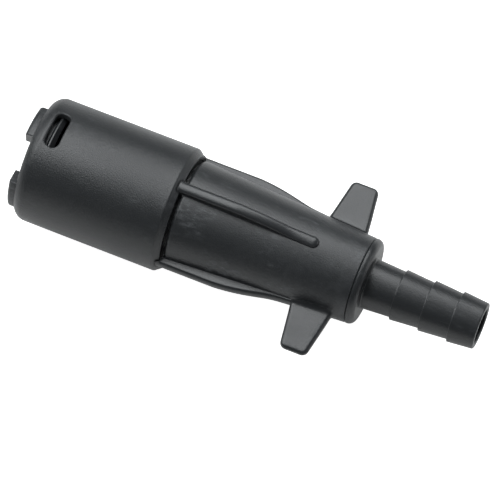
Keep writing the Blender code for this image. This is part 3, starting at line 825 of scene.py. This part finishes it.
def rib_rows(steps=6):
    """Each row as (part, angle in radians): the fillet from the barrel up, then the rounded crest."""
    quarter = [math.pi / 2 * i / steps for i in range(steps + 1)]
    rows = [("buried", 0)] * 2 + [("fillet", t) for t in quarter]
    return rows + [("edge", t) for t in quarter] + [("top", 0)]


def grow_rib(angle):
    rows = rib_rows()
    stops = outline_stops(sides=70, corner_steps=8)
    half_length = (RIB_END - RIB_START) / 2
    half_width = RIB_WIDTH / 2
    middle = (RIB_START + RIB_END) / 2

    def where(column, row):
        part, turn = rows[row]
        along, across = on_outline(stops[column], half_length, half_width, half_width)
        corner = RIB_FRONT_CORNER if along < 0 else half_width
        foot_along, across = on_outline(stops[column], half_length, half_width, corner)
        height = rib_top(middle + foot_along) - barrel_radius(middle + foot_along)
        fillet = min(RIB_FILLET, RIB_FILLET_SHARE * height)
        drop = min(RIB_CROWN, RIB_CROWN_SHARE * height)
        inset = half_width - RIB_FLAT
        grow = {"buried": fillet, "fillet": fillet * (1 - math.sin(turn))}.get(part, 0.0)
        grow -= {"edge": inset * (1 - math.cos(turn)), "top": inset}.get(part, 0.0)
        along, across = on_outline(stops[column], half_length, half_width, corner, grow)
        if row in (0, len(rows) - 1):
            across = 0.0
        if foot_along < 0:
            along = foot_along + (along - foot_along) * RIB_FRONT_SHARE
        x = middle + along
        ground = math.sqrt(barrel_radius(x) ** 2 - across**2)
        out = {
            "buried": ground - RIB_SUNK,
            "fillet": ground + fillet * (1 - math.cos(turn)),
            "edge": rib_top(x) - drop * (1 - math.sin(turn)),
        }.get(part, rib_top(x))
        out = max(out, over_cone(x))
        return on_axis(x) + outwards(angle) * out + sideways(angle) * across

    return wrapped(len(stops), len(rows) - 1, where)


for i in range(RIB_COUNT):
    rib = grow_rib(i * 360 / RIB_COUNT)
    finish_piece(f"body_rib_{i + 1}", rib, "housing", "winged_body", rib_plastic)

# %% [markdown]
# ## Wings
#
# The two wings are the grip for the other hand: they hold the body still while the sleeve is turned.
# They are tapering plates with round tip corners and a little draft, so they are thinner at the tip and
# leave the mould easily. Their faces run into the barrel through a fillet that a thumb doesn't feel. The
# same kind of rows as on the ribs makes them, but each row is also shorter than the one under it.

# %% Wing plates
WING_COUNT = 2
WING_MIDDLE = BODY_END - 9.1 * MM
WING_REACH = body_high.y
WING_BASE = 11.7 * MM
WING_TIP = 7.5 * MM
WING_THICKNESS = 2.4 * MM
WING_CORNER = 1.5 * MM
WING_DRAFT = 0.15
WING_EDGE = 0.95 * MM
WING_FILLET = 1.3 * MM
WING_WALL_ROWS = 5


def wing_rows(steps=7):
    quarter = [math.pi / 2 * i / steps for i in range(steps + 1)]
    rows = [("buried", 0)] * 2 + [("fillet", t) for t in quarter]
    rows += [("wall", i / WING_WALL_ROWS) for i in range(1, WING_WALL_ROWS)]
    return rows + [("tip", t) for t in quarter] + [("top", 0)]


def edge_inset(depth, radius):
    """How far a rounded edge has drawn in, at a depth under its top."""
    if depth >= radius:
        return 0.0
    return radius - math.sqrt(max(0.0, radius**2 - (radius - depth) ** 2))


def grow_wing(angle):
    rows = wing_rows()
    stops = outline_stops(sides=16, corner_steps=6)
    root = barrel_radius(WING_MIDDLE)
    wall_low = root + WING_FILLET
    wall_high = WING_REACH - WING_CORNER

    def level(part, turn):
        return {
            "buried": root - RIB_SUNK,
            "fillet": root + WING_FILLET * (1 - math.cos(turn)),
            "wall": wall_low + (wall_high - wall_low) * turn,
            "tip": WING_REACH - WING_CORNER * (1 - math.sin(turn)),
        }.get(part, WING_REACH)

    def where(column, row):
        part, turn = rows[row]
        out = level(part, turn)
        share = (out - root) / (WING_REACH - root)
        half_length = (WING_BASE + (WING_TIP - WING_BASE) * share) / 2
        half_width = WING_THICKNESS / 2 * (1 + WING_DRAFT * (1 - 2 * share))
        half_width -= edge_inset(WING_REACH - out, WING_EDGE)
        half_length -= edge_inset(WING_REACH - out, WING_CORNER)
        grow = {"buried": WING_FILLET, "fillet": WING_FILLET * (1 - math.sin(turn))}.get(part, 0.0)
        corner = min(WING_EDGE, half_width)
        along, across = on_outline(stops[column], half_length, half_width, corner, grow)
        if row in (0, len(rows) - 1):
            across = 0.0
        x = WING_MIDDLE + along
        if part in ("buried", "fillet"):
            out += math.sqrt(barrel_radius(x) ** 2 - across**2) - root
        return on_axis(x) + outwards(angle) * out + sideways(angle) * across

    return wrapped(len(stops), len(rows) - 1, where)


for i in range(WING_COUNT):
    wing = grow_wing(i * 360 / WING_COUNT)
    finish_piece(f"body_wing_{i + 1}", wing, "housing", "winged_body", rib_plastic)

# %% [markdown]
# ## The hose tail
#
# The inlet is pressed into the rear of the body, and leaves a fine line round it there. The tubing is
# pushed over its three barbs as far as the flange. Each barb leans back so that the tubing slides on
# easily, and its shoulder bites when something pulls. A crest is never quite sharp, because a mould
# can't fill a sharp corner, so each has a small round of its own.

# %% Tail profile
JOINT_LINE = 0.06 * MM
FLANGE_START = BODY_END + JOINT_LINE
FLANGE_END = BODY_END + FIT + 2.0 * MM
FLANGE_ROUND = 1.8 * MM
SPIGOT_RADIUS = REAR_RADIUS - BARREL_WALL - FIT
BARB_CREST = 7.1 * MM
BARB_ROOT = 6.5 * MM
BARB_BORE = 4.9 * MM
BARB_LEAD = 8.5 * MM
BARB_PITCH = 8.2 * MM
BARB_COUNT = 3
CREST_ROUND = 0.14 * MM
ROOT_FILLET = 0.45 * MM
TIP_ROUND = 0.45 * MM
BORE_BREAK = 0.3 * MM
STEM_RADIUS = 6.94 * MM
RING_GROOVE = 1.5 * MM


def barbs():
    """The outside of the tail, from the flange to the last crest."""
    first = FLANGE_END + BARB_LEAD
    points = arc(FLANGE_END + ROOT_FILLET, STEM_RADIUS + ROOT_FILLET, ROOT_FILLET, 180, 270, 5)
    for i in range(BARB_COUNT):
        shoulder = first + i * BARB_PITCH
        points += [(shoulder - 2 * CREST_ROUND, BARB_ROOT), (shoulder, BARB_ROOT + CREST_ROUND)]
        points += arc(shoulder + CREST_ROUND, BARB_CREST - CREST_ROUND, CREST_ROUND, 180, 85, 4)
    return points


def tail_profile():
    groove_low, groove_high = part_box("inlet_o_ring")
    floor = SPIGOT_RADIUS - RING_GROOVE
    profile = [(inlet_low.x, BARB_BORE), (inlet_low.x, SPIGOT_RADIUS - FIT)]
    profile += [(inlet_low.x + FIT, SPIGOT_RADIUS)]
    profile += [(groove_low.x - FIT, SPIGOT_RADIUS), (groove_low.x - FIT, floor)]
    profile += [(groove_high.x + FIT, floor), (groove_high.x + FIT, SPIGOT_RADIUS)]
    profile += [(FLANGE_START, SPIGOT_RADIUS), (FLANGE_START, REAR_RADIUS - END_BREAK)]
    profile += [(FLANGE_START + END_BREAK / 2, REAR_RADIUS)]
    profile += arc(FLANGE_END - FLANGE_ROUND, REAR_RADIUS - FLANGE_ROUND, FLANGE_ROUND, 86, 0, 10)
    profile += barbs()
    profile += arc(TIP - TIP_ROUND, BARB_ROOT - TIP_ROUND, TIP_ROUND, 84, 0, 6)
    return profile + [(TIP, BARB_BORE + BORE_BREAK), (TIP - BORE_BREAK, BARB_BORE)]


finish_piece("hose_tail", spun(tail_profile()), "housing", "barbed_inlet", tail_plastic)

# %% [markdown]
# ## The pieces inside
#
# The frame's own pieces inside the emitter are the right shape, so they stay and only get real
# materials: natural acetal with the faint clouds of a thick moulding, black rubber with a dusting of
# talc, a terracotta silicone, and steel with darker patches. They can be seen through the outlet, the
# slots and the hose bore.

# %% Materials inside
ACETAL = (0.78, 0.77, 0.72, 1)
ACETAL_SHADE = (0.66, 0.64, 0.58, 1)
TALC = (0.09, 0.09, 0.09, 1)
RUBBER = (0.013, 0.013, 0.013, 1)
SILICONE = (0.52, 0.15, 0.09, 1)
SILICONE_SHADE = (0.4, 0.1, 0.06, 1)
STEEL = (0.62, 0.61, 0.59, 1)
STEEL_SHADE = (0.4, 0.39, 0.38, 1)
INSIDE_GRAIN = 0.03 * MM
INSIDE_SPREAD = 0.12


def inside_material(name, first, second, roughness, grain):
    """A material and its shader: a second colour shows in patches, and the sheen is duller there."""
    material, tree, shader, vector = new_material(name)
    handled = place_group(tree, marks_group, vector, Amount=1.0)
    patches = handled.outputs["Clouds"]
    tree.links.new(mix_colours(tree, patches, first, second), shader.inputs["Base Color"])
    spread = math_node(tree, "MULTIPLY", patches, INSIDE_SPREAD)
    tree.links.new(math_node(tree, "ADD", spread, roughness), shader.inputs["Roughness"])
    texture = place_group(tree, grain_group, vector)
    tree.links.new(bump(tree, texture.outputs["Height"], grain, INSIDE_GRAIN), shader.inputs["Normal"])
    return material, shader


acetal, acetal_shader = inside_material("natural_acetal", ACETAL, ACETAL_SHADE, 0.32, 0.15)
acetal_shader.inputs["Subsurface Weight"].default_value = 0.15
acetal_shader.inputs["Subsurface Scale"].default_value = 1.0 * MM
rubber, _ = inside_material("talced_rubber", RUBBER, TALC, 0.6, 0.5)
silicone, _ = inside_material("terracotta_silicone", SILICONE, SILICONE_SHADE, 0.48, 0.2)
steel, steel_shader = inside_material("turned_steel", STEEL, STEEL_SHADE, 0.2, 0.3)
steel_shader.inputs["Metallic"].default_value = 1.0
print("inside:", acetal.name, rubber.name, silicone.name, steel.name)

# %% [markdown]
# The strainer's gauze is woven from fine wire. Modelling thousands of wires inside a closed piece would
# help nobody. Two sets of waves crossing each other give the weave's colour and its height.

# %% Woven gauze
WIRES_PER_METRE = 1100
WEAVE_HOLE = (0.03, 0.03, 0.03, 1)
WEAVE_DEPTH = 0.1 * MM


def gauze_material():
    material, tree, shader, vector = new_material("woven_gauze")
    across = add_node(tree, "ShaderNodeTexWave", wave_type="BANDS", bands_direction="X")
    around = add_node(tree, "ShaderNodeTexWave", wave_type="BANDS", bands_direction="DIAGONAL")
    for wires in (across, around):
        wires.inputs["Scale"].default_value = WIRES_PER_METRE
        tree.links.new(vector, wires.inputs["Vector"])
    weave = math_node(tree, "MAXIMUM", across.outputs["Fac"], around.outputs["Fac"])
    tree.links.new(mix_colours(tree, weave, WEAVE_HOLE, STEEL), shader.inputs["Base Color"])
    tree.links.new(bump(tree, weave, 0.8, WEAVE_DEPTH), shader.inputs["Normal"])
    shader.inputs["Metallic"].default_value = 1.0
    shader.inputs["Roughness"].default_value = 0.35
    return material


gauze = gauze_material()
INSIDE = {"white_acetal": acetal, "rubber": rubber, "silicone": silicone, "steel": steel}
shown_as = {"strainer_gauze": gauze}
for part in frame["record"]["subparts"]:
    if part["material_slot"] in INSIDE:
        node = frame["nodes"][part["node"]]
        node.data.materials.clear()
        node.data.materials.append(shown_as.get(part["node"], INSIDE[part["material_slot"]]))
print("gauze:", gauze.name, "and", len(INSIDE), "materials on the frame's own pieces")

# %% [markdown]
# ## The table
#
# The emitter lies on a plain white table that fills the view. Black plastic is seen by what it
# reflects, so the table matters as much as the lamps: it gives the underside its soft grey. A pool of
# light round the emitter glows a little and fades into a darker far side, which keeps the upper flank
# of the plastic dark. A faint mottle keeps the colour from being dead flat. The camera itself sees the
# whole table washed out to white, as on a light table, so no shadow is seen on it.

# %% Floor
FLOOR_SIZE = 3.0
FLOOR_DROP = 0.05 * MM
FLOOR_GLOW = 0.30
FLOOR_WHITE = 1.0
FLOOR_PALE = (0.6, 0.6, 0.595, 1)
FLOOR_PALER = (0.64, 0.64, 0.63, 1)
FLOOR_FAR = (0.2, 0.2, 0.2, 1)
FLOOR_ROUGHNESS = 0.8
MOTTLE_SCALE = 9.0
POOL_ENDS = 0.24
POOL_FULL = 0.09


def add_place(tree, vector, letter):
    """One letter of the coordinates as a number."""
    node = add_node(tree, "ShaderNodeSeparateXYZ")
    tree.links.new(vector, node.inputs[0])
    return node.outputs[letter]


def make_floor():
    shape = bmesh.new()
    bmesh.ops.create_grid(shape, x_segments=4, y_segments=4, size=FLOOR_SIZE / 2)
    bmesh.ops.translate(shape, verts=shape.verts, vec=(0, 0, -FLOOR_DROP))
    floor = mesh_object("table_top", shape)
    material, tree, shader, vector = new_material("white_table")
    mottle = noise_node(tree, vector, MOTTLE_SCALE, 3.0)
    pale = mix_colours(tree, mottle, FLOOR_PALE, FLOOR_PALER)
    shader.inputs["Roughness"].default_value = FLOOR_ROUGHNESS
    shader.inputs["Emission Color"].default_value = (1, 1, 1, 1)
    pool = between(tree, add_place(tree, vector, "Y"), POOL_ENDS, POOL_FULL)
    tree.links.new(mix_colours(tree, pool, FLOOR_FAR, pale), shader.inputs["Base Color"])
    seen = add_node(tree, "ShaderNodeLightPath").outputs["Is Camera Ray"]
    glow = math_node(tree, "MULTIPLY", pool, FLOOR_GLOW)
    strength = math_node(tree, "MAXIMUM", glow, math_node(tree, "MULTIPLY", seen, FLOOR_WHITE))
    tree.links.new(strength, shader.inputs["Emission Strength"])
    floor.data.materials.append(material)
    return floor


print("floor:", make_floor().name)

# %% [markdown]
# ## The camera
#
# A long lens from far away keeps the hose tail and the sleeve at the same scale, as a catalogue view
# does. The camera stands high, a little to the right of the emitter's side, so the axis falls across
# the view from upper left to lower right and the mouth of the hose tail just shows.

# %% Camera
AZIMUTH = math.radians(22.75)
ELEVATION = math.radians(66.1)
DISTANCE = 1.309
SENSOR = 36.0
VIEW_WIDTH = 134.0 * MM
AIM = on_axis(FRONT + 64.3 * MM)
LOOK_LEFT = 1.36 * MM
LOOK_DOWN = 2.75 * MM

towards = Vector((
    math.sin(AZIMUTH) * math.cos(ELEVATION),
    -math.cos(AZIMUTH) * math.cos(ELEVATION),
    math.sin(ELEVATION),
))
camera_data = bpy.data.cameras.new("catalogue_lens")
camera_data.sensor_width = SENSOR
camera_data.lens = SENSOR * DISTANCE / VIEW_WIDTH
camera_data.clip_end = 10.0
camera = bpy.data.objects.new("camera", camera_data)
bpy.context.scene.collection.objects.link(camera)
camera.rotation_euler = towards.to_track_quat("Z", "Y").to_euler()
bpy.context.view_layer.update()
turned_to = camera.rotation_euler.to_matrix()
camera.location = AIM + towards * DISTANCE - turned_to.col[0] * LOOK_LEFT - turned_to.col[1] * LOOK_DOWN
bpy.context.scene.camera = camera
print(f"lens {camera_data.lens:.0f} mm at {DISTANCE} m")

# %% [markdown]
# ## The light
#
# One long, flat softbox hangs level over the table, behind the emitter and turned so that it crosses it
# at a slant. It draws the broad soft band along the top of every round piece, a little higher on the
# body than on the sleeve, and lights the flat wings evenly. A low panel beyond the tail picks out the
# rounded rims there, and a weak card on the left does so on the crown's side. The room stays dim, and
# gives the dark stripe that makes the body look round. The table does the rest.

# %% Softbox and room
BOX_PLACE = Vector((-0.16, 0.482, 0.8))
BOX_TURN = math.radians(66)
BOX_LENGTH = 1.7
BOX_WIDTH = 0.447
BOX_POWER = 12.8
SIDE_PLACE = Vector((0.68, 0.36, 0.19))
SIDE_LENGTH = 0.5
SIDE_WIDTH = 0.28
SIDE_POWER = 0.9
LEFT_PLACE = Vector((-0.62, 0.1, 0.45))
LEFT_LENGTH = 0.5
LEFT_WIDTH = 0.4
LEFT_POWER = 1.5
LAMP_COLOUR = (0.96, 0.985, 1.0)
ROOM = (0.115, 0.123, 0.128, 1)


def area_lamp(name, place, width, depth, power):
    """A rectangular lamp that shines straight down until it is turned."""
    lamp_data = bpy.data.lights.new(name, "AREA")
    lamp_data.shape = "RECTANGLE"
    lamp_data.size = width
    lamp_data.size_y = depth
    lamp_data.energy = power
    lamp_data.color = LAMP_COLOUR
    lamp = bpy.data.objects.new(name, lamp_data)
    bpy.context.scene.collection.objects.link(lamp)
    lamp.location = on_axis(0) + place
    return lamp


def aimed_lamp(name, place, width, depth, power):
    """A rectangular lamp that faces the emitter."""
    lamp = area_lamp(name, place, width, depth, power)
    lamp.rotation_euler = place.to_track_quat("Z", "Y").to_euler()
    return lamp


main_light = area_lamp("overhead_softbox", BOX_PLACE, BOX_LENGTH, BOX_WIDTH, BOX_POWER)
main_light.rotation_euler.z = BOX_TURN
side_light = aimed_lamp("side_panel", SIDE_PLACE, SIDE_LENGTH, SIDE_WIDTH, SIDE_POWER)
left_light = aimed_lamp("left_card", LEFT_PLACE, LEFT_LENGTH, LEFT_WIDTH, LEFT_POWER)
world = bpy.data.worlds.new("studio")
world.use_nodes = True
world.node_tree.nodes["Background"].inputs["Color"].default_value = ROOM
bpy.context.scene.world = world
bpy.context.scene.view_settings.view_transform = "Standard"
print("lights:", main_light.name, side_light.name, left_light.name)
